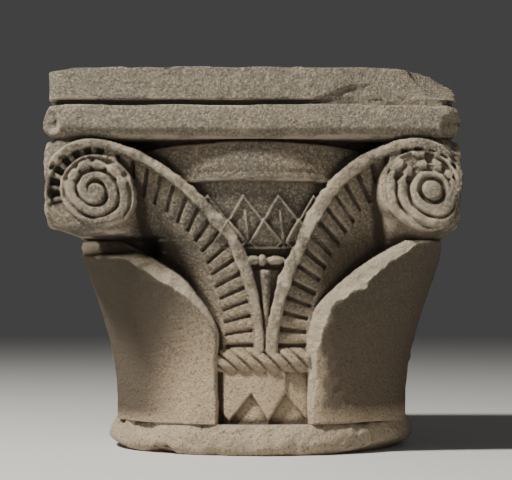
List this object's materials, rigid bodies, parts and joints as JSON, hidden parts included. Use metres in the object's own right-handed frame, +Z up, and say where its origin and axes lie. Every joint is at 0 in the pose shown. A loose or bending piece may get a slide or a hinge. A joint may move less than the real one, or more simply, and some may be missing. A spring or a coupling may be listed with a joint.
{
  "type": "carved stone column capital",
  "caption": "Free-standing carved stone capital: square moulded abacus on a round bell, with smooth corner leaves, notched ribbons rising to corner volutes, a twisted band and a ring foot.",
  "frame": {"origin": "middle of the underside, straight below the middle of the abacus", "axes": "+Z up along the column, from the bed that rests on the shaft to the top bed; the front face, which has the bud between the ribbons, looks along -Y; +X to the right of the front"},
  "size_m": [0.36, 0.36, 0.3345],
  "materials": {
    "stone": "weathered grey-brown sandstone, matt and slightly rough"
  },
  "bodies": {
    "root": {"capital": "stone"}
  },
  "joints": []
}
